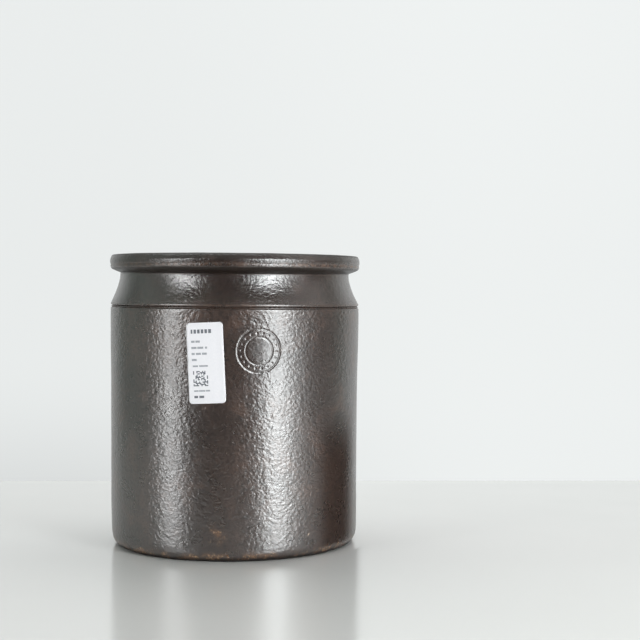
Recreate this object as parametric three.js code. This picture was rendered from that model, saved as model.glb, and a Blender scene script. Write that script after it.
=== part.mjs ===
// A tall cylindrical stoneware storage crock with a rolled rim, and the paper
// label stuck to its front. Millimetres, +Z up. The origin is the centre of the
// flat base, on the surface that the crock stands on; -Y is the labelled front.
import * as THREE from "three";

// Driving dimensions: outside of the fired body.
const HEIGHT = 238; // base to the flat top of the rim
const BASE_FLAT_R = 96.8; // flat foot the crock stands on
const FOOT_R = 101.75; // where the rounded bottom edge runs into the wall
const FOOT_Z = 13;
const WALL_LOW_R = 102.1; // lower half of the wall
const WALL_TOP_R = 103.17; // widest part of the wall, just under the turned lines
const WALL_TOP_Z = 184;
const LINE_Z = 193.9; // start of the pair of turned lines
const SHOULDER_R = 102.8; // ridge above the turned lines
const SHOULDER_Z = 198.1;
const NECK_R = 94.8; // narrowest part of the neck, under the rim
const NECK_Z = 221.5;
const RIM_R = 103.55; // widest part of the rolled rim
const RIM_R_Z = 232.2;
const RIM_UNDER_Z = 224.2; // underside of the rolled rim
const LAND_OUT_R = 99.5; // flat land on top of the rim
const LAND_IN_R = 91.5;

// Driving dimensions: inside of the fired body.
const FLOOR_Z = 11; // thickness of the bottom
const FLOOR_FLAT_R = 72; // flat part of the floor
const INNER_R = 93.3; // inside of the wall, low down
const INNER_TOP_R = 94.1; // inside of the wall, under the shoulder
const MOUTH_R = 86.2; // narrowest part of the mouth
const MOUTH_Z = 226;

// Driving dimensions: paper label.
const LABEL_W = 29;
const LABEL_H = 62;
const LABEL_CORNER = 2.8;
const LABEL_THICK = 0.15;
const LABEL_GAP = 0.25; // glue line between paper and glaze
const LABEL_AZIMUTH = -8.86; // degrees round the wall from the front, to the left
const LABEL_Z = 153.5; // middle of the label
const LABEL_TILT = 2.8; // degrees, top leaning to the left

const LATHE_SIDES = 64;

// Outer profile from the foot to the top land, then the inner one back down to
// the floor: pairs of radius and height.
const profile = [
  [0, 0],
  [BASE_FLAT_R, 0],
  [98.8, 0.7],
  [100.0, 2.4],
  [101.2, 5.6],
  [FOOT_R, FOOT_Z],
  [WALL_LOW_R, 34],
  [WALL_LOW_R, 84],
  [102.29, 117],
  [102.7, 151],
  [103.03, 167],
  [WALL_TOP_R, WALL_TOP_Z],
  [103.1, LINE_Z],
  [102.5, 194.8],
  [102.9, 195.6],
  [102.0, 196.6],
  [SHOULDER_R, SHOULDER_Z],
  [101.7, 200.6],
  [99.29, 205.6],
  [97.1, 211.0],
  [95.7, 216.2],
  [NECK_R, NECK_Z],
  [94.95, RIM_UNDER_Z],
  [98.5, 224.9],
  [101.5, 226.2],
  [102.8, 228.0],
  [103.4, 230.5],
  [RIM_R, RIM_R_Z],
  [103.3, 234.6],
  [102.0, 237.0],
  [LAND_OUT_R, HEIGHT],
  [LAND_IN_R, HEIGHT],
  [89.2, 237.2],
  [87.6, 234.8],
  [86.6, 231],
  [MOUTH_R, MOUTH_Z],
  [86.5, 220],
  [87.6, 213.5],
  [89.6, 207],
  [91.9, 201],
  [93.5, 195.5],
  [INNER_TOP_R, 188],
  [INNER_R + 0.4, 110],
  [INNER_R, 32],
  [92.6, 25],
  [90.8, 19.6],
  [87.6, 15.2],
  [83.2, 12.4],
  [78.4, 11.3],
  [FLOOR_FLAT_R, FLOOR_Z],
  [0, FLOOR_Z],
];

// Radius of the outer wall at a height, on the straight runs of the profile.
function wallRadius(z) {
  for (let i = 1; i < profile.length; i++) {
    const [r0, z0] = profile[i - 1];
    const [r1, z1] = profile[i];
    if (z >= z0 && z <= z1 && z1 > z0)
      return r0 + ((r1 - r0) * (z - z0)) / (z1 - z0);
  }
  throw new Error("no wall at height " + z);
}

const glaze = new THREE.MeshStandardMaterial({
  name: "salt_glaze",
  color: 0x3b2f2b,
  roughness: 0.38,
  metalness: 0.0,
});
const paper = new THREE.MeshStandardMaterial({
  name: "label_paper",
  color: 0xe9edf2,
  roughness: 0.7,
  metalness: 0.0,
});

// The fired body: one turned solid, with its open hollow inside.
function crockBody() {
  const points = profile.map(([r, z]) => new THREE.Vector2(r, z));
  const geometry = new THREE.LatheGeometry(points, LATHE_SIDES);
  geometry.rotateX(Math.PI / 2); // the lathe turns about Y: stand it up on Z
  const mesh = new THREE.Mesh(geometry, glaze);
  mesh.name = "crock_body";
  return mesh;
}

// The label: a sheet with rounded corners, tilted, then wrapped on the wall.
function paperLabel() {
  const columns = 12;
  const rows = 22;
  const geometry = new THREE.BoxGeometry(
    LABEL_W,
    LABEL_THICK,
    LABEL_H,
    columns,
    1,
    rows,
  );
  const position = geometry.getAttribute("position");
  const tilt = THREE.MathUtils.degToRad(LABEL_TILT);
  const azimuth = THREE.MathUtils.degToRad(LABEL_AZIMUTH);
  const halfW = LABEL_W / 2;
  const halfH = LABEL_H / 2;
  // Row heights are gathered towards the ends, where the corners are round.
  const eased = (t) => 0.75 * t + 0.25 * t * t * t;
  for (let i = 0; i < position.count; i++) {
    const v = halfH * eased(position.getZ(i) / halfH);
    const intoCorner = Math.max(0, Math.abs(v) - (halfH - LABEL_CORNER));
    const inset =
      LABEL_CORNER -
      Math.sqrt(Math.max(0, LABEL_CORNER ** 2 - intoCorner ** 2));
    const u = (position.getX(i) / halfW) * (halfW - inset);
    const along = u * Math.cos(tilt) - v * Math.sin(tilt);
    const up = LABEL_Z + u * Math.sin(tilt) + v * Math.cos(tilt);
    const proud = position.getY(i) < 0 ? LABEL_GAP + LABEL_THICK : LABEL_GAP;
    const r = wallRadius(up) + proud;
    const angle = azimuth + along / r;
    position.setXYZ(i, r * Math.sin(angle), -r * Math.cos(angle), up);
  }
  const mesh = new THREE.Mesh(geometry, paper);
  mesh.name = "paper_label";
  return mesh;
}

const crock = new THREE.Group();
crock.name = "stoneware_crock";
crock.add(crockBody(), paperLabel());

export default crock;
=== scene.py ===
"""Looks of a salt-glazed stoneware crock with a paper label, in metres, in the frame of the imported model."""

import math

import bmesh
import bpy
import numpy as np
from mathutils import Matrix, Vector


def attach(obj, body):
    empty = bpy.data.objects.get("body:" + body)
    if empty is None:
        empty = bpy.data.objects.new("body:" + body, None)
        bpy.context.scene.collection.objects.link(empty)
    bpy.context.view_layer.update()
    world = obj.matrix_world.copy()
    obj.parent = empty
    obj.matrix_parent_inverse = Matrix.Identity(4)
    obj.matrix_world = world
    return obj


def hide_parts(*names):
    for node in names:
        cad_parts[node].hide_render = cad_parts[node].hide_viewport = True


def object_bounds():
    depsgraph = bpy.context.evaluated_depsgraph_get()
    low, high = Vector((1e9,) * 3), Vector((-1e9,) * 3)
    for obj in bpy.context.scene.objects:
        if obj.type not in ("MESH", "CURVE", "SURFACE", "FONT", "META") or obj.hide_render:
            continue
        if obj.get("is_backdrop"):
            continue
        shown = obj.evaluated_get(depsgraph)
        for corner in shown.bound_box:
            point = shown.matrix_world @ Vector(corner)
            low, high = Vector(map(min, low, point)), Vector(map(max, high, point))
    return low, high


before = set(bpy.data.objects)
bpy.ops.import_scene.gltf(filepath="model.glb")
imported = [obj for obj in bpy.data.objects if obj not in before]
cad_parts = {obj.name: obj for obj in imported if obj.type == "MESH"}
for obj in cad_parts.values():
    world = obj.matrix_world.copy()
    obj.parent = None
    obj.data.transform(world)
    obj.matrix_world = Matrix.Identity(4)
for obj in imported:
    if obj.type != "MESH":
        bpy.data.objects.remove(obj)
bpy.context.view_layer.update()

MM = 0.001
FINE, COARSE = 416, 104  # columns round the outside, and round the inside and underside

# ---------------------------------------------------------------- profile
# Runs of (radius, height) in millimetres: from the middle of the underside out to the foot, up the outside, over the
# rim and down the inside to the middle of the floor. Each run has the spacing of its rows, or None to use its points.
RUNS = [
    ("under", 7.0, [(0, 0.9), (30, 0.85), (60, 0.7), (82, 0.35), (90, 0.04), (92.0, 0.0), (94.0, 0.0)]),
    ("foot", 1.0, [(94.0, 0.0), (95.2, 0.06), (96.3, 0.28), (97.2, 0.7), (98.0, 1.3), (98.75, 2.05), (99.4, 2.85),
                   (99.98, 3.7), (100.47, 4.55), (100.87, 5.45), (101.2, 6.4), (101.45, 7.6), (101.67, 9.2), (101.87, 11.5),
                   (102.05, 17.0)]),
    ("wall", 1.6, [(102.05, 17), (102.3, 34), (102.26, 50), (102.3, 67), (102.32, 84), (102.43, 100), (102.49, 117),
                   (102.62, 134), (102.9, 151), (103.2, 167), (103.32, 184), (103.3, 190), (103.27, 193.9)]),
    ("lines", None, [(103.27, 193.9), (103.22, 194.3), (103.05, 194.6), (102.65, 194.85), (102.25, 195.1), (102.6, 195.32),
                     (102.9, 195.5), (102.97, 195.7), (102.85, 195.88), (102.3, 196.05), (101.75, 196.25), (102.2, 196.5),
                     (102.75, 196.85), (103.0, 197.2), (103.08, 197.6), (103.06, 198.0), (102.92, 198.4), (102.65, 198.8),
                     (102.35, 199.3)]),
    ("neck", 1.35, [(102.35, 199.3), (101.75, 200.8), (100.65, 203.1), (99.75, 205.0), (98.83, 207.1), (97.7, 210.1),
                    (96.72, 213.0), (96.17, 215.0), (95.62, 217.1), (95.25, 219.2), (95.08, 221.0), (95.03, 221.9),
                    (95.05, 222.75)]),
    ("rim", None, [(95.05, 222.75), (96.4, 223.2), (98.0, 223.75), (99.8, 224.5), (101.1, 225.2), (101.9, 225.8),
                   (102.5, 226.4), (102.95, 227.0), (103.28, 227.6), (103.45, 228.1), (103.52, 228.6), (103.5, 229.0),
                   (103.42, 229.4), (103.28, 229.8), (103.48, 230.3), (103.67, 230.95), (103.8, 231.7), (103.84, 232.45),
                   (103.8, 232.95), (103.66, 233.4), (103.44, 233.85), (103.15, 234.35), (102.82, 234.9), (102.48, 235.45),
                   (102.12, 236.0), (101.7, 236.5), (101.2, 237.0), (100.5, 237.45), (99.7, 237.75), (98.8, 237.9)]),
    ("land", 1.7, [(98.8, 237.9), (96.5, 238.0), (93.6, 237.9), (91.8, 237.6)]),
    ("lip", 2.2, [(91.8, 237.6), (90.3, 237.1), (89.0, 236.2), (88.0, 235.0), (87.2, 233.4), (86.6, 231.0), (86.3, 227.5),
                  (86.25, 224.0), (86.5, 220.0), (87.6, 213.5), (89.6, 207.0), (91.9, 201.0), (93.5, 195.5), (94.1, 188.0)]),
    ("inner", 3.3, [(94.1, 188), (93.9, 150), (93.7, 110), (93.5, 70), (93.3, 32)]),
    ("floor", 3.3, [(93.3, 32), (92.6, 25), (90.8, 19.6), (87.6, 15.2), (83.2, 12.4), (78.4, 11.3), (72, 11.0), (40, 10.8),
                    (0, 10.7)]),
]
COARSE_RUNS = ("under", "lip", "inner", "floor")


def through(points, each=14):
    """A smooth line through the points, as many short steps."""
    p = np.array(points, float)
    p = np.vstack([2 * p[0] - p[1], p, 2 * p[-1] - p[-2]])
    out = []
    for k in range(1, len(p) - 2):
        a, b, c, d = p[k - 1 : k + 3]
        ta = 0.0
        tb = ta + np.linalg.norm(b - a) ** 0.5
        tc = tb + np.linalg.norm(c - b) ** 0.5
        td = tc + np.linalg.norm(d - c) ** 0.5
        t = np.linspace(tb, tc, each, endpoint=False)[:, None]
        ab = (tb - t) / (tb - ta) * a + (t - ta) / (tb - ta) * b
        bc = (tc - t) / (tc - tb) * b + (t - tb) / (tc - tb) * c
        cd = (td - t) / (td - tc) * c + (t - tc) / (td - tc) * d
        abc = (tc - t) / (tc - ta) * ab + (t - ta) / (tc - ta) * bc
        bcd = (td - t) / (td - tb) * bc + (t - tb) / (td - tb) * cd
        out.append((tc - t) / (tc - tb) * abc + (t - tb) / (tc - tb) * bcd)
    out.append(p[-2][None])
    return np.vstack(out)


dense, dense_run, rows = [], [], []  # rows: (place along the profile, is it fine, run's number)
length = 0.0
for number, (name, step, points) in enumerate(RUNS):
    line = np.array(points, float) if step is None else through(points)
    along = np.concatenate([[0.0], np.cumsum(np.linalg.norm(np.diff(line, axis=0), axis=1))])
    if step is None:
        at = along
    else:
        at = np.linspace(0, along[-1], max(2, round(along[-1] / step)) + 1)
    start = 0 if number == 0 else 1
    dense.append(np.column_stack([line, length + along])[start:])
    dense_run += [number] * (len(line) - start)
    for s in at[start:]:
        rows.append((length + s, name not in COARSE_RUNS, number))
    length += along[-1]
dense = np.vstack(dense)
PROFILE_S, PROFILE_R, PROFILE_Z = dense[:, 2], dense[:, 0], dense[:, 1]
PROFILE_LENGTH = length
tangent = np.column_stack([np.gradient(PROFILE_R, PROFILE_S), np.gradient(PROFILE_Z, PROFILE_S)])
tangent /= np.linalg.norm(tangent, axis=1)[:, None]
NORMAL_R, NORMAL_Z = tangent[:, 1], -tangent[:, 0]
RUN_END = {name: PROFILE_S[[k for k, n in enumerate(dense_run) if n == i][-1]] for i, (name, _, _) in enumerate(RUNS)}


def step_at(number, point):
    """Place along the profile of a point of a run that uses its own points."""
    line = np.array(RUNS[number][2], float)
    return RUN_END[RUNS[number - 1][0]] + np.sum(np.linalg.norm(np.diff(line[: point + 1], axis=0), axis=1))


def wall_radius(z):
    """Radius of the outside at a height on the wall, without its texture."""
    low, high = RUN_END["foot"], RUN_END["wall"]
    on = (PROFILE_S >= low) & (PROFILE_S <= high)
    return np.interp(z, PROFILE_Z[on], PROFILE_R[on])


# ---------------------------------------------------------------- noise in millimetres
def hashed(i, seed):
    """A number from 0 to 1 for each whole-numbered place."""
    with np.errstate(over="ignore"):
        h = (
            i[:, 0].astype(np.uint32) * np.uint32(374761393)
            + i[:, 1].astype(np.uint32) * np.uint32(668265263)
            + i[:, 2].astype(np.uint32) * np.uint32(2246822519)
            + np.uint32((seed * 3266489917) & 0xFFFFFFFF)
        )
        h ^= h >> np.uint32(15)
        h *= np.uint32(2246822519)
        h ^= h >> np.uint32(13)
        h *= np.uint32(3266489917)
        h ^= h >> np.uint32(16)
    return h.astype(np.float64) / 4294967295.0


CORNERS = [np.array([a, b, c]) for a in (0, 1) for b in (0, 1) for c in (0, 1)]
AROUND = [np.array([a, b, c]) for a in (-1, 0, 1) for b in (-1, 0, 1) for c in (-1, 0, 1)]


def noise(p, size, seed):
    """Smooth noise, about -0.7 to 0.7, with features of this size."""
    q = p / size
    i = np.floor(q).astype(np.int64)
    f = q - i
    w = f * f * f * (f * (f * 6 - 15) + 10)
    out = np.zeros(len(p))
    for c in CORNERS:
        g = np.column_stack([hashed(i + c, seed + 17 * k) * 2 - 1 for k in (1, 2, 3)])
        share = np.prod(np.where(c == 1, w, 1 - w), axis=1)
        out += share * np.sum(g * (f - c), axis=1)
    return out


def pebbles(p, size, seed, sharp=10.0):
    """Rounded bumps of this spacing that meet in soft creases: about 0 on top of a bump, lower between them."""
    q = p / size
    i = np.floor(q).astype(np.int64)
    total = np.zeros(len(p))
    for c in AROUND:
        at = i + c
        centre = at + np.column_stack([hashed(at, seed + 31 * k) for k in (1, 2, 3)])
        total += np.exp(-sharp * np.sum((q - centre) ** 2, axis=1))
    return np.log(total) / sharp


def ramp(x, low, high):
    t = np.clip((np.asarray(x, float) - low) / (high - low), 0, 1)
    return t * t * (3 - 2 * t)


# ---------------------------------------------------------------- lean of the hand-turned body
LEAN = 0.0078  # radians that the turned lines and the rim drop to the right
DRIFT = 0.5  # share of that by which the body moves to the right above its foot
WANDER_Z = [0, 20, 45, 110, 150, 185, 196, 206, 221, 227, 260]  # how the turned middle strays to the right with height
WANDER_X = [0, -0.1, -0.36, -0.34, -0.2, 0, 0, -0.28, -0.25, 0.13, 0.13]


def leant(p):
    """Points in millimetres, moved with the body's lean. The foot stays flat."""
    x, y, z = p[:, 0], p[:, 1], p[:, 2]
    zs = np.linspace(0, 260, 521)
    tilt = LEAN * ramp(zs, 0, 40)
    shift = np.concatenate([[0], np.cumsum((tilt[1:] + tilt[:-1]) / 2 * np.diff(zs))])
    turn = np.interp(z, zs, tilt)
    wander = np.interp(z, WANDER_Z, WANDER_X)
    return np.column_stack([x + DRIFT * np.interp(z, zs, shift) + wander, y, z - turn * x])


# how much fuller than the profile the rim's top corner gets, by height and round the rim, and the foot's edge
RIM_FULL_Z, RIM_FULL_R = [232.9, 233.8, 234.8, 235.5, 236.2, 236.9, 237.65, 238], [0, 0.3, 0.7, 0.93, 1.13, 1.43, 2.0, 2.1]
RIM_FULL_AT = [-180, -135, -90, -60, -40, -15, 5, 25, 50, 90, 135, 180]
RIM_FULL_SHARE = [0.4, 0.7, 1.0, 0.6, 0.25, 0.0, 0.05, 0.3, 0.55, 1.0, 0.7, 0.4]
FOOT_FULL_Z, FOOT_FULL_R = [0.0, 1.0, 2.05, 2.85, 3.7, 4.55, 5.45, 6.4, 7.6, 9.2, 11.5, 17], [
    0, -0.25, 0, 0.3, 0.5, 0.7, 0.8, 0.67, 0.48, 0.28, 0.12, 0]


# ---------------------------------------------------------------- marks on the wall
SEAL_ANGLE, SEAL_Z = math.radians(13.9), 163.0  # middle of the plain round seal pressed into the wall
SEAL_TURN = math.radians(-2.0)
LABEL_ANGLE, LABEL_Z, LABEL_TILT = math.radians(-8.86), 153.5, math.radians(2.8)
LABEL_W, LABEL_H, LABEL_CORNER = 29.0, 62.0, 2.8


def on_seal(theta, z):
    """Distance from the seal's middle, and the angle round it, on the wall."""
    a = (theta - SEAL_ANGLE) * 103.0
    b = z - SEAL_Z
    return np.hypot(a, b), np.arctan2(b, a) - SEAL_TURN


def groove(distance, width):
    """1 in the middle of a pressed line, 0 outside it."""
    return np.clip(1 - (distance / (width / 2)) ** 2, 0, 1) ** 1.2


def seal_depth(theta, z):
    rho, phi = on_seal(theta, z)
    outer = groove(np.abs(rho - 16.8), 1.7) * 0.46
    inner = groove(np.abs(rho - 10.6), 1.3) * 0.34
    step = 2 * math.pi / 18
    off = (np.mod(phi + step / 2, step) - step / 2) * rho
    dots = groove(np.hypot(off, rho - 13.7), 1.9) * 0.36
    raised = np.exp(-(((np.abs(rho - 16.8) - 1.35) / 0.5) ** 2)) * 0.06
    return np.maximum(np.maximum(outer, inner), dots) - raised


def under_label(theta, z):
    """1 well under the label, 0 outside it."""
    a = (theta - LABEL_ANGLE) * 103.0
    b = z - LABEL_Z
    u = a * math.cos(LABEL_TILT) + b * math.sin(LABEL_TILT)
    v = -a * math.sin(LABEL_TILT) + b * math.cos(LABEL_TILT)
    return (1 - ramp(np.abs(u), LABEL_W / 2 - 2, LABEL_W / 2)) * (1 - ramp(np.abs(v), LABEL_H / 2 - 2, LABEL_H / 2))


# Small chips and pits: (degrees round from the front, height, radius, depth, pale chip or dark pit)
FLAWS = [
    (-53.0, 3.0, 1.3, 0.45, 1),
    (17.0, 2.6, 1.1, 0.4, 1),
    (38.0, 18.5, 0.9, 0.3, 1),
    (-42.0, 15.5, 0.8, 0.25, 1),
    (-10.0, 44.0, 1.7, 0.35, -1),
    (105.0, 4.2, 1.5, 0.5, 1),
    (171.0, 2.4, 1.2, 0.4, 1),
    (-128.0, 3.6, 1.4, 0.4, 1),
    (146.0, 96.0, 1.8, 0.35, -1),
    (-97.0, 131.0, 1.5, 0.3, -1),
]


def relief(theta, s):
    """How far the surface stands off the smooth profile, along its normal, in millimetres, and the masks that the finish uses."""
    r, z = np.interp(s, PROFILE_S, PROFILE_R), np.interp(s, PROFILE_S, PROFILE_Z)
    p = np.column_stack([r * np.sin(theta), -r * np.cos(theta), z])
    outside = (s > RUN_END["under"]) & (s <= RUN_END["land"])
    inside = s > RUN_END["land"]
    # share of the orange peel: full on the wall, less on the neck, little on the rim, inside and underneath
    keys = [0, RUN_END["under"], RUN_END["under"] + 6, RUN_END["foot"], RUN_END["wall"] - 1.5, RUN_END["wall"],
            RUN_END["lines"], RUN_END["lines"] + 3, RUN_END["neck"] - 4, RUN_END["neck"], RUN_END["land"], RUN_END["land"] + 8,
            PROFILE_LENGTH]
    peel = np.interp(s, keys, [0.12, 0.2, 0.5, 0.8, 1.0, 0.45, 0.4, 0.62, 0.62, 0.42, 0.42, 0.3, 0.3])
    fine = np.interp(s, keys, [0.3, 0.3, 0.3, 0.35, 0.35, 0.6, 0.6, 0.8, 0.9, 1.0, 1.0, 0.5, 0.5])
    rho, _ = on_seal(theta, z)
    peel = np.where(outside & (np.abs(theta) < 1.2), peel * (1 - 0.55 * (1 - ramp(rho, 15, 19)) * ramp(z, 130, 142)), peel)
    free = ramp(z, 0.3, 9)  # the foot stays flat on the floor
    free = np.where(inside, 1.0, free)
    flat = p * np.array([0.95, 0.95, 1.12])  # the bumps are a little wider than high
    off = peel * (0.12 * pebbles(flat, 4.4, 3, 7.0) + 0.06 * noise(flat, 6.0, 5))
    off += free * (0.30 * noise(p, 95, 11) + 0.14 * noise(p, 41, 12) + 0.05 * noise(p, 17, 13))
    rim = ramp(s, RUN_END["neck"], RUN_END["neck"] + 3) * (1 - ramp(s, RUN_END["land"], RUN_END["land"] + 3))
    off += rim * 0.10 * noise(p, 11, 14)
    # spiral left by the fingers on the inside
    spiral = ramp(s, RUN_END["land"] + 10, RUN_END["land"] + 40)
    off += spiral * 0.22 * np.sin(2 * math.pi * (np.where(z > 16, z, r * 0.8 + 0) / 10.5) + theta + 1.6 * noise(p, 60, 21))
    wall = (s > RUN_END["foot"]) & (s < RUN_END["wall"])
    off -= np.where(wall, seal_depth(theta, z), 0)
    hidden = np.where(wall, under_label(theta, z), 0)
    off = np.where(hidden > 0, off * (1 - hidden) + hidden * np.minimum(off, 0.0), off)
    chip, pit = np.zeros(len(s)), np.zeros(len(s))
    for angle, height, size, depth, kind in FLAWS:
        around = np.mod(theta - math.radians(angle) + math.pi, 2 * math.pi) - math.pi
        near = np.hypot(around * r, z - height) * (1 + 0.5 * noise(p, 2.2, 41))
        hit = np.where(outside, 1 - ramp(near, size * 0.35, size), 0)
        off -= hit * depth
        if kind > 0:
            chip = np.maximum(chip, hit)
        else:
            pit = np.maximum(pit, 1 - ramp(near, size * 0.5, size * 1.5))
    # thin glaze: ridges of the turned lines, the low edge of the rim, and the foot
    ridges = np.exp(-(((z - 197.7) / 0.6) ** 2)) + 0.9 * np.exp(-(((z - 195.65) / 0.4) ** 2)) + 0.2 * np.exp(-(((z - 194.2) / 0.5) ** 2))
    turned = np.exp(-(((z - 196.3) / 2.2) ** 2))
    front = 0.55 + 0.45 * np.cos(theta - math.radians(38))
    bead = np.exp(-(((z - 229.2) / 1.3) ** 2)) * front * ramp(noise(p, 34, 51), -0.6, 0.1)
    rust = np.where(outside & (z < 215), (0.45 * ridges + 0.08 * turned) * ramp(noise(p, 30, 58), -0.4, 0.25), 0) + np.where(outside & (r > 102), bead, 0)
    edge = np.exp(-(((z - 4.6 - 1.6 * noise(p, 15, 57)) / 2.3) ** 2))
    low = np.where(outside, edge * ramp(noise(p, 9, 52) + 0.6 * noise(p, 2.6, 53), -0.18, 0.22), 0)
    patch = np.exp(-((np.hypot((theta + math.radians(4.5)) * 102, z - 21.0) / 6.0) ** 2)) * ramp(noise(p, 4, 54), -0.1, 0.3)
    rust = np.clip(rust, 0, 1)
    worn = np.clip(low + np.where(outside, patch, 0), 0, 1)
    bare = np.zeros(len(s))
    dull_and_shade = np.where(outside, 1 - ramp(z + 1.0 * noise(p, 12, 55), 1.5, 5.0), 0)  # thin, rougher glaze under the edge of the foot; its darker colour is painted shade where the foot turns under
    bare = np.where(s <= RUN_END["under"], 1.0, bare)
    # little salt reaches the underside of the rim and the edge of the foot, so the glaze is dry there; this mask also
    # darkens their colour, painted shade under the rim's overhang and the foot's edge, and on the rim's top and, more,
    # its left side, where its highlight is dimmer
    tucked_shade = ramp(s, RUN_END["neck"] - 0.6, RUN_END["neck"]) * (1 - ramp(z + 0.5 * noise(p, 9, 56), 226.6, 227.9))
    dry_and_shade = np.where(outside & (z > 215), tucked_shade, 0) + np.where(outside, 1 - ramp(z + 0.8 * noise(p, 10, 59), 2.0, 5.0), 0) + np.where(outside & (z > 230), ramp(z, 235.8, 237.2), 0)
    # painted shade: the rim's left side gets a darker colour and less shine, where its highlight is dimmer
    rim_shade_by_side = np.where(outside & (z > 228), np.interp(np.degrees(theta), [-180, -70, -20, 10, 180], [0.42, 0.42, 0.3, 0.08, 0.08]), 0)
    dry_and_shade = np.maximum(dry_and_shade, rim_shade_by_side)
    bare = np.maximum(bare, 0.85 * chip)
    return off, {"peel": peel, "rust": rust, "bare": bare, "pit": pit, "dull_and_shade": dull_and_shade, "dry_and_shade": np.clip(dry_and_shade, 0, 1), "worn": worn, "fine": fine}


# ---------------------------------------------------------------- the fired body
def crock_mesh():
    places, thetas, loops, sizes, uvs = [], [], [], [], []
    first = []
    for s, fine, _ in rows:
        r = np.interp(s, PROFILE_S, PROFILE_R)
        first.append((len(places), 1 if r < 1e-6 else (FINE if fine else COARSE)))
        for k in range(first[-1][1]):
            places.append(s)
            thetas.append(2 * math.pi * k / first[-1][1] - math.pi)

    def put(*corners):
        """A face of (row, column) corners, with its place on the flat map."""
        for row, column in corners:
            start, count = first[row]
            loops.append(start + (column % count if count > 1 else 0))
            across = column / count if count > 1 else (corners[0][1] + 0.5) / COARSE
            uvs.append((0.01 + 0.98 * across, 0.01 + 0.98 * rows[row][0] / PROFILE_LENGTH))
        sizes.append(len(corners))

    for a in range(len(rows) - 1):
        b = a + 1
        na, nb = first[a][1], first[b][1]
        if na == nb:
            for k in range(na):
                put((a, k), (a, k + 1), (b, k + 1), (b, k))
        elif na == 1:
            for k in range(nb):
                put((b, k), (a, 0), (b, k + 1))
        elif nb == 1:
            for k in range(na):
                put((a, k), (a, k + 1), (b, 0))
        elif na > nb:
            for k in range(nb):
                f = 4 * k
                put((a, f), (a, f + 1), (b, k))
                put((a, f + 1), (a, f + 2), (b, k))
                put((a, f + 2), (b, k + 1), (b, k))
                put((a, f + 2), (a, f + 3), (b, k + 1))
                put((a, f + 3), (a, f + 4), (b, k + 1))
        else:
            for k in range(na):
                f = 4 * k
                put((a, k), (b, f + 1), (b, f))
                put((a, k), (b, f + 2), (b, f + 1))
                put((a, k), (a, k + 1), (b, f + 2))
                put((a, k + 1), (b, f + 3), (b, f + 2))
                put((a, k + 1), (b, f + 4), (b, f + 3))
    places, thetas = np.array(places), np.array(thetas)
    mesh = bpy.data.meshes.new("stoneware_crock")
    r, z = np.interp(places, PROFILE_S, PROFILE_R), np.interp(places, PROFILE_S, PROFILE_Z)
    starts = np.concatenate([[0], np.cumsum(sizes)[:-1]])
    faces = [loops[a : a + n] for a, n in zip(starts, sizes)]
    mesh.from_pydata(np.column_stack([r * np.sin(thetas), -r * np.cos(thetas), z]).tolist(), [], faces)
    layer = mesh.uv_layers.new(name="OFBake")
    layer.data.foreach_set("uv", np.array(uvs, np.float32).ravel())
    mesh.attributes.new("place", "FLOAT", "POINT").data.foreach_set("value", places.astype(np.float32))

    # finer faces where the seal is pressed in
    work = bmesh.new()
    work.from_mesh(mesh)
    work.verts.ensure_lookup_table()
    keep = []
    for face in work.faces:
        c = face.calc_center_median()
        if c.y > 0 or not 140 < c.z < 186 or math.hypot(c.x, c.y) < 99:
            continue
        rho, _ = on_seal(np.array([math.atan2(c.x, -c.y)]), np.array([c.z]))
        if 9.4 < rho[0] < 18.9:
            keep.append(face)
    edges = list({e for face in keep for e in face.edges})
    bmesh.ops.subdivide_edges(work, edges=edges, cuts=2, use_grid_fill=True)
    work.to_mesh(mesh)
    work.free()

    count = len(mesh.vertices)
    flat = np.empty(count * 3)
    mesh.vertices.foreach_get("co", flat)
    flat = flat.reshape(-1, 3)
    s = np.empty(count, np.float32)
    mesh.attributes["place"].data.foreach_get("value", s)
    s = s.astype(float)
    theta = np.arctan2(flat[:, 0], -flat[:, 1])
    off, masks = relief(theta, s)
    r, z = np.interp(s, PROFILE_S, PROFILE_R), np.interp(s, PROFILE_S, PROFILE_Z)
    nr, nz = np.interp(s, PROFILE_S, NORMAL_R), np.interp(s, PROFILE_S, NORMAL_Z)
    pole = r < 1e-6
    r2, z2 = np.where(pole, 0, r + nr * off), z + np.where(s <= RUN_END["under"], 0, nz * off)
    # the underside of the rim hangs lower at the front and back than at the sides
    hang = ramp(s, RUN_END["neck"] - 5, RUN_END["neck"]) * (1 - ramp(s, RUN_END["neck"] + 5.0, RUN_END["neck"] + 9.5))
    twice = np.cos(2 * theta)
    z2 -= hang * 0.6 * twice * (1.5 - 0.5 * twice**2)
    # the rim's top corner is fuller at the sides, and the edge of the foot is sharper at the front and back
    corner = np.interp(z, RIM_FULL_Z, RIM_FULL_R) * ((s > RUN_END["neck"]) & (s <= RUN_END["rim"]))
    corner += RIM_FULL_R[-1] * ((s > RUN_END["rim"]) & (s <= RUN_END["land"])) * (
        1 - ramp(s, RUN_END["rim"], RUN_END["land"]))
    r2 = r2 + corner * np.interp(np.degrees(theta), RIM_FULL_AT, RIM_FULL_SHARE)
    on_foot = (s > RUN_END["under"]) & (s <= RUN_END["foot"])
    r2 = r2 + on_foot * 0.35 * np.interp(z, FOOT_FULL_Z, FOOT_FULL_R) * np.cos(theta) ** 2
    z2 = np.where(s <= RUN_END["under"], np.maximum(z2, 0), z2)
    out = leant(np.column_stack([r2 * np.sin(theta), -r2 * np.cos(theta), z2])) * MM
    mesh.vertices.foreach_set("co", out.ravel())
    mesh.attributes.remove(mesh.attributes["place"])
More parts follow.
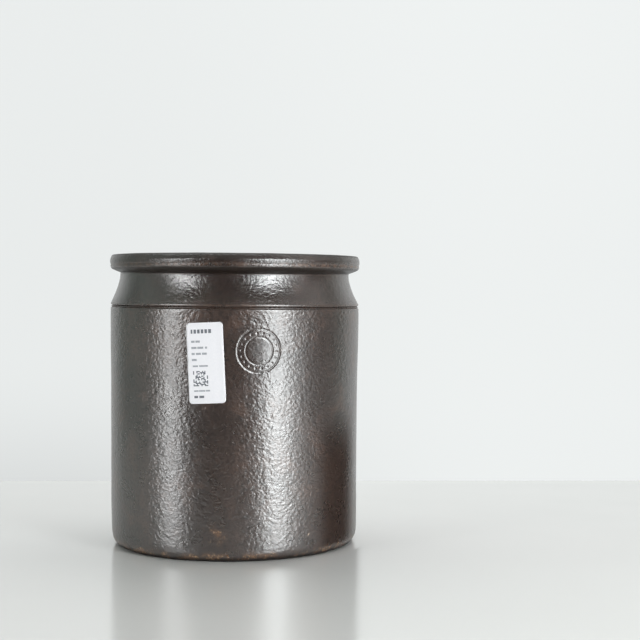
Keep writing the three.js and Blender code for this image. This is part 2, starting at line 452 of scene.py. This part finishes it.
    # crisp creases: the bottoms of the turned lines, where the rim rolls out of the neck, and the line round the rim
    ends = np.empty(len(mesh.edges) * 2, np.int32)
    mesh.edges.foreach_get("vertices", ends)
    ends = ends.reshape(-1, 2)
    crease = np.zeros(len(ends), bool)
    for at in (step_at(3, 4), step_at(3, 10), RUN_END["neck"], step_at(5, 13)):
        crease |= (np.abs(s[ends[:, 0]] - at) < 1e-3) & (np.abs(s[ends[:, 1]] - at) < 1e-3)
    mesh.attributes.new("sharp_edge", "BOOLEAN", "EDGE").data.foreach_set("value", crease)
    for name, values in masks.items():
        mesh.attributes.new(name, "FLOAT", "POINT").data.foreach_set("value", values.astype(np.float32))
    mesh.polygons.foreach_set("use_smooth", np.ones(len(mesh.polygons), bool))
    mesh.update()
    return mesh


# ---------------------------------------------------------------- the label
# Plain printed bars and a block of small squares: (left, right, low, high) in millimetres from the label's middle, and
# which ink.
INK = []


def print_row(v, height, spans, kind):
    for a, b in spans:
        INK.append((a, b, v - height / 2, v + height / 2, kind))


print_row(24.3, 3.0, [(-10.9, -9.5), (-8.6, -6.6), (-5.7, -3.7), (-2.8, -0.8), (0.1, 2.1), (3.0, 5.2)], 1)
print_row(16.6, 1.6, [(-10.9, -8.0), (-7.4, -3.9)], 2)
print_row(11.8, 1.6, [(-10.9, -6.7), (-6.1, -1.4), (0.0, 1.6)], 2)
print_row(7.2, 1.6, [(-10.9, -8.4), (-7.4, -3.4), (-2.6, 1.2)], 2)
print_row(2.6, 1.6, [(-10.9, -7.0)], 2)
print_row(-2.2, 1.3, [(-10.4, -6.2), (-5.2, 1.6)], 2)
print_row(-21.2, 1.2, [(-10.2, -6.6), (-6.2, -1.4), (-1.0, 2.4)], 2)
print_row(-25.8, 1.8, [(-10.2, -7.2), (-6.2, -2.4)], 1)
BLOCK_LEFT, BLOCK_TOP, BLOCK_CELL = -10.4, -5.9, 0.9
for row in range(13):
    for column in range(13):
        if (7 * row + 11 * column + row * column + (row * row) // 3 + (column * column) // 2) % 5 in (0, 2):
            left, top = BLOCK_LEFT + column * BLOCK_CELL, BLOCK_TOP - row * BLOCK_CELL
            INK.append((left, left + BLOCK_CELL, top - BLOCK_CELL, top, 1))


def label_mesh():
    """A sheet of paper with round corners, wrapped on the wall, with its right edge and lower corner lifting a little."""
    us = {-LABEL_W / 2, LABEL_W / 2}
    vs = {-LABEL_H / 2, LABEL_H / 2}
    for a, b, c, d, _ in INK:
        us |= {round(a, 3), round(b, 3)}
        vs |= {round(c, 3), round(d, 3)}
    for k in range(13):  # the round corners
        vs |= {sign * (LABEL_H / 2 - LABEL_CORNER * (1 - math.cos(math.pi / 2 * k / 12))) for sign in (-1, 1)}

    def filled(values, gap):
        values = sorted(values)
        out = [values[0]]
        for v in values[1:]:
            if v - out[-1] < 1e-4:
                continue
            n = max(1, math.ceil((v - out[-1]) / gap))
            base = out[-1]
            out += [base + (v - base) * k / n for k in range(1, n + 1)]
        return np.array(out)

    us, vs = filled(us, 1.2), filled(vs, 1.6)
    u, v = np.meshgrid(us, vs)
    into = np.clip(np.abs(v) - (LABEL_H / 2 - LABEL_CORNER), 0, LABEL_CORNER)
    inset = LABEL_CORNER - np.sqrt(np.maximum(0, LABEL_CORNER**2 - into**2))
    u2 = u * (LABEL_W / 2 - inset) / (LABEL_W / 2)
    along = u2 * math.cos(LABEL_TILT) - v * math.sin(LABEL_TILT)
    up = LABEL_Z + u2 * math.sin(LABEL_TILT) + v * math.cos(LABEL_TILT)
    lift = 0.85 * ramp(u2, LABEL_W / 2 - 6.5, LABEL_W / 2 + 1.5) * (0.75 + 0.25 * np.cos(v / 21.0))
    lift += 0.45 * ramp(-v, LABEL_H / 2 - 5, LABEL_H / 2 + 1) * ramp(u2, -12, 14)
    lift += 0.05 * np.sin(v / 4.1 + 0.7) * np.cos(u2 / 5.3)
    points = []
    for depth in (0.13, 0.0):
        r = wall_radius(up) + 0.16 + lift + depth
        angle = LABEL_ANGLE + along / (wall_radius(up) + 0.2)
        points.append(np.stack([r * np.sin(angle), -r * np.cos(angle), up], axis=-1).reshape(-1, 3))
    nu, nv = len(us), len(vs)
    n = nu * nv
    faces, kinds = [], []
    for j in range(nv - 1):
        for i in range(nu - 1):
            a = j * nu + i
            faces.append((a, a + 1, a + nu + 1, a + nu))
            mu, mv = (us[i] + us[i + 1]) / 2, (vs[j] + vs[j + 1]) / 2
            kinds.append(next((k for x0, x1, y0, y1, k in INK if x0 < mu < x1 and y0 < mv < y1), 0))
            faces.append((n + a, n + a + nu, n + a + nu + 1, n + a + 1))
            kinds.append(0)
    edge = [(0, i) for i in range(nu)] + [(j, nu - 1) for j in range(1, nv)]
    edge += [(nv - 1, i) for i in range(nu - 2, -1, -1)] + [(j, 0) for j in range(nv - 2, 0, -1)]
    ring = [j * nu + i for j, i in edge]
    for a, b in zip(ring, ring[1:] + ring[:1]):
        faces.append((a, n + a, n + b, b))
        kinds.append(0)
    mesh = bpy.data.meshes.new("paper_label_sheet")
    mesh.from_pydata((leant(np.vstack(points)) * MM).tolist(), [], faces)
    mesh.polygons.foreach_set("material_index", np.array(kinds, np.int32))
    smooth = np.ones(len(faces), bool)
    smooth[-len(ring) :] = False
    mesh.polygons.foreach_set("use_smooth", smooth)
    mesh.update()
    return mesh


# ---------------------------------------------------------------- materials
class Nodes:
    """A material's node tree, with short ways to add and join nodes."""

    def __init__(self, name):
        self.material = bpy.data.materials.new(name)
        self.material.use_nodes = True
        self.tree = self.material.node_tree
        self.tree.nodes.clear()
        out = self.tree.nodes.new("ShaderNodeOutputMaterial")
        self.shader = self.tree.nodes.new("ShaderNodeBsdfPrincipled")
        self.join(self.shader.outputs[0], out.inputs["Surface"])
        self.where = self.tree.nodes.new("ShaderNodeTexCoord").outputs["Object"]

    def join(self, a, b):
        self.tree.links.new(a, b)

    def set(self, socket, value):
        if hasattr(value, "is_output"):
            self.join(value, socket)
        else:
            socket.default_value = value

    def attribute(self, name):
        node = self.tree.nodes.new("ShaderNodeAttribute")
        node.attribute_name = name
        return node.outputs["Fac"]

    def noise(self, scale, detail=2.0, rough=0.5, warp=0.0, vector=None):
        node = self.tree.nodes.new("ShaderNodeTexNoise")
        self.join(vector or self.where, node.inputs["Vector"])
        node.inputs["Scale"].default_value = scale
        node.inputs["Detail"].default_value = detail
        node.inputs["Roughness"].default_value = rough
        node.inputs["Distortion"].default_value = warp
        return node.outputs["Fac"]

    def cells(self, scale, feature="SMOOTH_F1", smooth=0.6, vector=None):
        node = self.tree.nodes.new("ShaderNodeTexVoronoi")
        node.feature = feature
        self.join(vector or self.where, node.inputs["Vector"])
        node.inputs["Scale"].default_value = scale
        if feature == "SMOOTH_F1":
            node.inputs["Smoothness"].default_value = smooth
        return node

    def math(self, kind, a, b=0.0, c=None, clamp=False):
        node = self.tree.nodes.new("ShaderNodeMath")
        node.operation = kind
        node.use_clamp = clamp
        for socket, value in zip(node.inputs, (a, b, c)):
            if value is not None:
                self.set(socket, value)
        return node.outputs[0]

    def spread(self, value, low, high, to_low=0.0, to_high=1.0):
        node = self.tree.nodes.new("ShaderNodeMapRange")
        node.interpolation_type = "SMOOTHSTEP"
        for name, v in (("Value", value), ("From Min", low), ("From Max", high), ("To Min", to_low), ("To Max", to_high)):
            self.set(node.inputs[name], v)
        return node.outputs["Result"]

    def mix(self, share, a, b):
        node = self.tree.nodes.new("ShaderNodeMix")
        node.data_type = "RGBA"
        sockets = [i for i in node.inputs if i.type == "RGBA"]
        self.set(node.inputs["Factor"], share)
        self.set(sockets[0], a)
        self.set(sockets[1], b)
        return [o for o in node.outputs if o.type == "RGBA"][0]

    def bump(self, height, distance, strength=1.0, below=None):
        node = self.tree.nodes.new("ShaderNodeBump")
        self.set(node.inputs["Height"], height)
        node.inputs["Distance"].default_value = distance
        self.set(node.inputs["Strength"], strength)
        if below is not None:
            self.join(below, node.inputs["Normal"])
        return node.outputs["Normal"]


def rgb(r, g, b):
    return (r, g, b, 1.0)


def salt_glaze():
    m = Nodes("salt_glaze")
    peel, rust, bare, pit = (m.attribute(n) for n in ("peel", "rust", "bare", "pit"))
    dull_and_shade, dry_and_shade, worn, fine = (m.attribute(n) for n in ("dull_and_shade", "dry_and_shade", "worn", "fine"))
    cloud, blotch, fleck = m.noise(11, 3, 0.55), m.noise(48, 3, 0.6, 0.4), m.noise(420, 2, 0.6)
    colour = m.mix(m.spread(cloud, 0.38, 0.66), rgb(0.0315, 0.0205, 0.0168), rgb(0.0510, 0.0316, 0.0246))
    colour = m.mix(m.math("MULTIPLY", m.spread(blotch, 0.5, 0.72), 0.6), colour, rgb(0.080, 0.0425, 0.0288))
    colour = m.mix(m.math("MULTIPLY", m.spread(fleck, 0.48, 0.66), 0.75), colour, rgb(0.014, 0.0100, 0.0088))
    colour = m.mix(m.spread(fine, 0.36, 0.8, 0.0, 0.40), colour, rgb(0.016, 0.0075, 0.0055))  # darker on the neck and rim
    # iron specks in the glaze
    spots = m.cells(190, "F1")
    rare = m.tree.nodes.new("ShaderNodeSeparateColor")
    m.join(spots.outputs["Color"], rare.inputs[0])
    iron = m.math("MULTIPLY", m.math("SUBTRACT", 1.0, m.spread(spots.outputs["Distance"], 0.10, 0.22)), m.spread(rare.outputs[0], 0.80, 0.84))
    colour = m.mix(m.math("MULTIPLY", iron, 0.8), colour, rgb(0.012, 0.008, 0.007))
    orange = m.math("MULTIPLY", m.math("SUBTRACT", 1.0, m.spread(spots.outputs["Distance"], 0.06, 0.16)), m.spread(rare.outputs[1], 0.90, 0.93))
    colour = m.mix(m.math("MULTIPLY", orange, 0.55), colour, rgb(0.15, 0.070, 0.036))
    # thin, rusty glaze on ridges and the foot
    broken = m.math("MULTIPLY", rust, m.spread(m.noise(300, 4, 0.65), 0.36, 0.62), clamp=True)
    # painted shade: darker under the rim's overhang, under the foot's edge, on the rim's top and on its left side
    colour = m.mix(m.math("MULTIPLY", m.math("MAXIMUM", dull_and_shade, dry_and_shade), 0.8), colour, rgb(0.011, 0.008, 0.0065))
    colour = m.mix(m.math("MULTIPLY", broken, 0.75), colour, rgb(0.115, 0.054, 0.027))
    # the worn edge of the foot: rusty, with pale specks of bare clay
    scuffed = m.math("MULTIPLY", worn, m.spread(m.noise(330, 4, 0.65), 0.38, 0.56), clamp=True)
    colour = m.mix(m.math("MULTIPLY", scuffed, 0.85), colour, rgb(0.165, 0.078, 0.034))
    pale = m.math("MULTIPLY", worn, m.spread(m.noise(560, 2, 0.5), 0.57, 0.64), clamp=True)
    colour = m.mix(m.math("MULTIPLY", pale, 0.85), colour, rgb(0.40, 0.25, 0.14))
    colour = m.mix(m.math("MULTIPLY", pit, 0.75), colour, rgb(0.010, 0.007, 0.006))
    # unglazed clay
    clay = m.mix(m.spread(m.noise(130, 5, 0.6), 0.35, 0.68), rgb(0.20, 0.125, 0.078), rgb(0.36, 0.26, 0.175))
    clay = m.mix(m.math("MULTIPLY", m.spread(m.noise(700, 2, 0.6), 0.56, 0.66), 0.6), clay, rgb(0.08, 0.045, 0.03))
    colour = m.mix(bare, colour, clay)
    m.join(colour, m.shader.inputs["Base Color"])
    rough = m.spread(blotch, 0.3, 0.7, 0.265, 0.305)
    rough = m.math("ADD", rough, m.spread(fine, 0.5, 0.8, 0.0, -0.045))  # a little glossier on the neck and rim
    rough = m.math("MULTIPLY_ADD", broken, 0.12, rough)
    rough = m.math("MULTIPLY_ADD", dull_and_shade, 0.15, rough)
    rough = m.math("MULTIPLY_ADD", bare, 0.5, rough, clamp=True)
    rough = m.math("MULTIPLY_ADD", dry_and_shade, 0.12, rough, clamp=True)
    m.join(rough, m.shader.inputs["Roughness"])
    m.shader.inputs["IOR"].default_value = 2.1
    m.join(m.math("MULTIPLY_ADD", dry_and_shade, -0.40, 0.5), m.shader.inputs["Specular IOR Level"])
    # orange peel: rounded bumps with soft creases, a little wider than high, and a finer grain on top
    wide = m.tree.nodes.new("ShaderNodeVectorMath")
    wide.operation = "MULTIPLY"
    m.join(m.where, wide.inputs[0])
    wide.inputs[1].default_value = (0.94, 0.94, 1.16)
    height = m.math("MULTIPLY_ADD", m.noise(560, 1, 0.5, 0.0, wide.outputs[0]), 0.5, m.noise(365, 1, 0.4, 0.25, wide.outputs[0]))
    normal = m.bump(height, 0.00039, peel)
    normal = m.bump(m.noise(1050, 2, 0.5), 0.00017, fine, normal)
    normal = m.bump(m.noise(520, 2, 0.5), 0.00032, m.spread(fine, 0.92, 1.0), normal)
    grain = m.bump(m.noise(2200, 2, 0.6), 0.00004, m.math("MULTIPLY_ADD", bare, 0.8, 0.2), normal)
    m.join(grain, m.shader.inputs["Normal"])
    return m.material


def paper():
    m = Nodes("label_paper")
    fibre = m.noise(900, 3, 0.6)
    m.join(m.mix(m.spread(fibre, 0.35, 0.7), rgb(0.730, 0.718, 0.742), rgb(0.762, 0.746, 0.766)), m.shader.inputs["Base Color"])
    m.join(m.spread(m.noise(260, 2, 0.5), 0.3, 0.7, 0.42, 0.55), m.shader.inputs["Roughness"])
    m.join(m.bump(fibre, 0.00002, 0.4), m.shader.inputs["Normal"])
    return m.material


def ink(name, dark, pale):
    m = Nodes(name)
    m.join(m.mix(m.spread(m.noise(2600, 2, 0.6), 0.3, 0.62), dark, pale), m.shader.inputs["Base Color"])
    m.join(m.spread(m.noise(900, 2, 0.5), 0.3, 0.7, 0.5, 0.65), m.shader.inputs["Roughness"])
    return m.material


crock = bpy.data.objects.new("stoneware_crock", crock_mesh())
bpy.context.scene.collection.objects.link(crock)
crock.data.materials.append(salt_glaze())
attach(crock, "root")
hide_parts("crock_body")

label = bpy.data.objects.new("paper_label_sheet", label_mesh())
bpy.context.scene.collection.objects.link(label)
label.data.materials.append(paper())
label.data.materials.append(ink("label_ink", rgb(0.06, 0.065, 0.075), rgb(0.17, 0.18, 0.20)))
label.data.materials.append(ink("label_ink_grey", rgb(0.20, 0.21, 0.23), rgb(0.36, 0.37, 0.39)))
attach(label, "root")
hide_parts("paper_label")


# ---------------------------------------------------------------- floor, wall, light, camera
def plane(name, corners, material):
    mesh = bpy.data.meshes.new(name)
    mesh.from_pydata(corners, [], [(0, 1, 2, 3)])
    ob = bpy.data.objects.new(name, mesh)
    bpy.context.scene.collection.objects.link(ob)
    mesh.materials.append(material)
    ob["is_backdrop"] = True
    return ob


def floor_material():
    m = Nodes("pale_floor")
    split = m.tree.nodes.new("ShaderNodeSeparateXYZ")
    m.join(m.where, split.inputs[0])
    # painted light: the floor is paler towards the back than at the front, evening out how the light falls on it
    near = m.mix(m.noise(2.0, 2, 0.5), rgb(0.755, 0.744, 0.729), rgb(0.785, 0.774, 0.759))
    m.join(m.mix(m.spread(split.outputs["Y"], -0.12, 0.30), near, rgb(0.87, 0.862, 0.846)), m.shader.inputs["Base Color"])
    m.join(m.spread(m.noise(6, 2, 0.5), 0.3, 0.7, 0.13, 0.17), m.shader.inputs["Roughness"])
    m.shader.inputs["IOR"].default_value = 1.75
    return m.material


def wall_material():
    m = Nodes("pale_wall")
    m.shader.inputs["Base Color"].default_value = rgb(0.1, 0.1, 0.1)
    m.shader.inputs["Roughness"].default_value = 1.0
    m.shader.inputs["Specular IOR Level"].default_value = 0.0
    # the wall glows instead of being lit, painted light: dimmer to both sides, like a lit backdrop
    split = m.tree.nodes.new("ShaderNodeSeparateXYZ")
    m.join(m.where, split.inputs[0])
    side = m.math("ABSOLUTE", m.math("SUBTRACT", split.outputs["X"], 0.22))
    m.join(m.mix(m.spread(side, 1.3, 2.4), rgb(0.83, 0.855, 0.85), rgb(0.70, 0.855, 0.80)), m.shader.inputs["Emission Color"])
    high = m.spread(split.outputs["Z"], 0.73, 1.35, 1.0, 0.5)
    right = m.spread(split.outputs["X"], -0.35, 0.45, 0.99, 1.04)  # painted light: a little brighter behind the crock's right
    # painted shade: dimmer low down on the left
    dim = m.math("MULTIPLY", m.spread(split.outputs["Z"], -0.6, 0.1, 0.5, 0.0), m.spread(split.outputs["X"], -0.4, 0.4, 1.0, 0.0))
    right = m.math("MULTIPLY", right, m.math("SUBTRACT", 1.0, dim))
    m.join(m.math("MULTIPLY", m.math("MULTIPLY", high, right), m.spread(side, 1.25, 2.6, 0.93, 0.36)), m.shader.inputs["Emission Strength"])
    return m.material


plane("table_floor", [(-0.8, -0.345, 0), (0.8, -0.345, 0), (0.8, 0.346, 0), (-0.8, 0.346, 0)], floor_material())
plane("back_wall", [(-4, 1.3, -1.2), (4, 1.3, -1.2), (4, 1.3, 3.2), (-4, 1.3, 3.2)], wall_material())


def softbox(name, azimuth, distance, low, high, width, radiance, tint, lean=0.0):
    """An upright panel that faces the crock's axis, from a low to a high edge, leaning in its own plane."""
    data = bpy.data.lights.new(name, "AREA")
    data.shape = "RECTANGLE"
    data.size, data.size_y = width, high - low
    data.energy = radiance * math.pi * width * (high - low)
    data.color = tint
    ob = bpy.data.objects.new(name, data)
    bpy.context.scene.collection.objects.link(ob)
    a = math.radians(azimuth)
    ob.location = (math.sin(a) * distance, -math.cos(a) * distance, (low + high) / 2)
    turn = Matrix.Rotation(a, 3, "Z") @ Matrix.Rotation(math.radians(90), 3, "X") @ Matrix.Rotation(math.radians(lean), 3, "Z")
    ob.rotation_euler = turn.to_euler()
    ob.visible_camera = False
    return ob


RIGHT_TINT, LEFT_TINT = (0.957, 1.0, 1.01), (0.985, 1.0, 1.005)
# what lights the matt floor and label, and the clay under the glaze
for name, azimuth, low, high, width, radiance, tint, lean in (
    ("softbox_right", 40.0, 0.08, 0.84, 0.30, 11.4, RIGHT_TINT, 16),
    ("softbox_left", -50.0, 0.03, 0.84, 0.22, 7.0, LEFT_TINT, -16),
    ("fill_right_low", 41.5, -0.30, 0.08, 0.42, 12.5, RIGHT_TINT, 0),
    ("fill_left_low", -54.0, -0.30, 0.08, 0.34, 8.8, LEFT_TINT, 0),
):
    softbox(name, azimuth, 1.15, low, high, width, radiance, tint, lean).visible_glossy = False
# what the glaze mirrors: the same panels with a bright middle and a dim skirt, brighter high up, and strips along the
# table's front edge in place of the low fill; no two of them lie in one plane
for name, azimuth, distance, low, high, width, radiance, tint, lean in (
    ("glint_right", 37.4, 1.154, 0.08, 0.84, 0.22, 3.7, RIGHT_TINT, 16),
    ("glint_right_mid", 38.6, 1.158, 0.08, 0.84, 0.46, 4.4, RIGHT_TINT, 16),
    ("glint_right_wide", 48.0, 1.162, 0.08, 0.84, 0.96, 1.0, RIGHT_TINT, 0),
    ("glint_right_high", 35.8, 1.146, 0.42, 0.84, 0.44, 4.4, RIGHT_TINT, 16),
    ("glint_left", -49.8, 1.154, 0.05, 0.84, 0.15, 4.1, LEFT_TINT, -16),
    ("glint_left_mid", -50.2, 1.158, 0.05, 0.84, 0.36, 2.4, LEFT_TINT, -16),
    ("glint_left_high", -44.4, 1.146, 0.42, 0.84, 0.27, 4.6, LEFT_TINT, -16),
    ("strip_right", 36.7, 0.475, 0.003, 0.12, 0.078, 3.7, RIGHT_TINT, 0),
    ("strip_right_mid", 38.2, 0.479, 0.003, 0.12, 0.155, 4.7, RIGHT_TINT, 0),
    ("strip_right_wide", 47.0, 0.483, 0.003, 0.12, 0.270, 1.1, RIGHT_TINT, 0),
    ("strip_left", -51.0, 0.600, 0.014, 0.076, 0.075, 7.2, LEFT_TINT, 0),
    ("strip_left_mid", -51.4, 0.605, 0.014, 0.076, 0.170, 3.6, LEFT_TINT, 0),
):
    softbox(name, azimuth, distance, low, high, width, radiance, tint, lean).visible_diffuse = False

# a dark flag close to the right of the wall, out of the camera's sight, only for the dark streak that it leaves in the
# glaze; its slats slope outwards and down, so that steep views see between them
flag_at = [
    (azimuth, z, edge) for z in np.linspace(0.0034, 0.1234, 41) for edge in (1, -1) for azimuth in np.linspace(42, 86, 33)
]
flag_mesh = bpy.data.meshes.new("dark_flag")
flag_mesh.from_pydata(
    [
        ((0.1071 - 0.0022 * e) * math.sin(math.radians(a)), -(0.1071 - 0.0022 * e) * math.cos(math.radians(a)), z + 0.0028 * e)
        for a, z, e in flag_at
    ],
    [],
    [(k, k + 1, k + 34, k + 33) for slat in range(41) for k in range(66 * slat, 66 * slat + 32)],
)
shade = [ramp(a, 42.5, 55) * (1 - ramp(a, 66.0, 86)) * (1 - ramp(z, 0.070, 0.121)) for a, z, e in flag_at]
flag_mesh.attributes.new("shade", "FLOAT", "POINT").data.foreach_set("value", np.array(shade, np.float32))
flag = bpy.data.objects.new("dark_flag", flag_mesh)
bpy.context.scene.collection.objects.link(flag)
flag_finish = Nodes("dark_flag")
flag_finish.shader.inputs["Base Color"].default_value = rgb(0.008, 0.006, 0.006)
flag_finish.shader.inputs["Roughness"].default_value = 0.6
flag_finish.shader.inputs["Specular IOR Level"].default_value = 0.0
veil = flag_finish.tree.nodes.new("ShaderNodeMixShader")
flag_finish.join(flag_finish.attribute("shade"), veil.inputs[0])
flag_finish.join(flag_finish.tree.nodes.new("ShaderNodeBsdfTransparent").outputs[0], veil.inputs[1])
flag_finish.join(flag_finish.shader.outputs[0], veil.inputs[2])
flag_finish.join(veil.outputs[0], next(n for n in flag_finish.tree.nodes if n.type == "OUTPUT_MATERIAL").inputs["Surface"])
flag_mesh.materials.append(flag_finish.material)
flag.visible_camera = flag.visible_diffuse = flag.visible_shadow = False
flag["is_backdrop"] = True

overhead = bpy.data.lights.new("softbox_top", "AREA")
overhead.shape = "RECTANGLE"
overhead.size, overhead.size_y, overhead.energy = 1.6, 0.9, 7.5
top = bpy.data.objects.new("softbox_top", overhead)
bpy.context.scene.collection.objects.link(top)
top.location = (0.0, 0.45, 1.35)
top.visible_camera = False

world = bpy.data.worlds.new("studio")
bpy.context.scene.world = world
world.use_nodes = True
tree = world.node_tree
background = tree.nodes["Background"] if "Background" in tree.nodes else tree.nodes.new("ShaderNodeBackground")
direction = tree.nodes.new("ShaderNodeTexCoord").outputs["Generated"]
split = tree.nodes.new("ShaderNodeSeparateXYZ")
tree.links.new(direction, split.inputs[0])
fade = tree.nodes.new("ShaderNodeMapRange")
fade.interpolation_type = "SMOOTHSTEP"
tree.links.new(split.outputs["Y"], fade.inputs["Value"])
for key, value in (("From Min", -0.9), ("From Max", 0.6), ("To Min", 0.035), ("To Max", 0.52)):
    fade.inputs[key].default_value = value


def world_map(value, low, high, to_low, to_high):
    node = tree.nodes.new("ShaderNodeMapRange")
    node.interpolation_type = "SMOOTHSTEP"
    tree.links.new(value, node.inputs["Value"])
    for key, number in (("From Min", low), ("From Max", high), ("To Min", to_low), ("To Max", to_high)):
        if hasattr(number, "is_output"):
            tree.links.new(number, node.inputs[key])
        else:
            node.inputs[key].default_value = number
    return node.outputs["Result"]


# low down the room is darker to the right; higher up it is brighter on both sides
beside_low = world_map(split.outputs["X"], 0.2, 0.9, 1.0, 0.5)
beside_high = world_map(split.outputs["X"], -0.3, 0.5, 1.3, 1.75)
room = world_map(split.outputs["Z"], 0.12, 0.5, beside_low, beside_high)
both = tree.nodes.new("ShaderNodeMath")
both.operation = "MULTIPLY"
tree.links.new(fade.outputs["Result"], both.inputs[0])
tree.links.new(room, both.inputs[1])
tree.links.new(both.outputs[0], background.inputs["Strength"])
tint = tree.nodes.new("ShaderNodeMix")
tint.data_type = "RGBA"
tree.links.new(world_map(split.outputs["X"], -0.7, 0.5, 0.0, 1.0), tint.inputs["Factor"])
shades = [i for i in tint.inputs if i.type == "RGBA"]
shades[0].default_value, shades[1].default_value = rgb(0.84, 1.0, 0.94), rgb(0.98, 0.98, 0.96)
tree.links.new([o for o in tint.outputs if o.type == "RGBA"][0], background.inputs["Color"])

camera_data = bpy.data.cameras.new("camera")
camera_data.lens = 1350 / 640 * 36
camera_data.sensor_width = 36
camera = bpy.data.objects.new("camera", camera_data)
bpy.context.scene.collection.objects.link(camera)
camera.location = (0.0717, -1.1315, 0.2096)
camera.rotation_euler = (math.radians(90 - 1.285), 0, 0)
bpy.context.scene.camera = camera
bpy.context.scene.view_settings.view_transform = "Standard"

low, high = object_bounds()
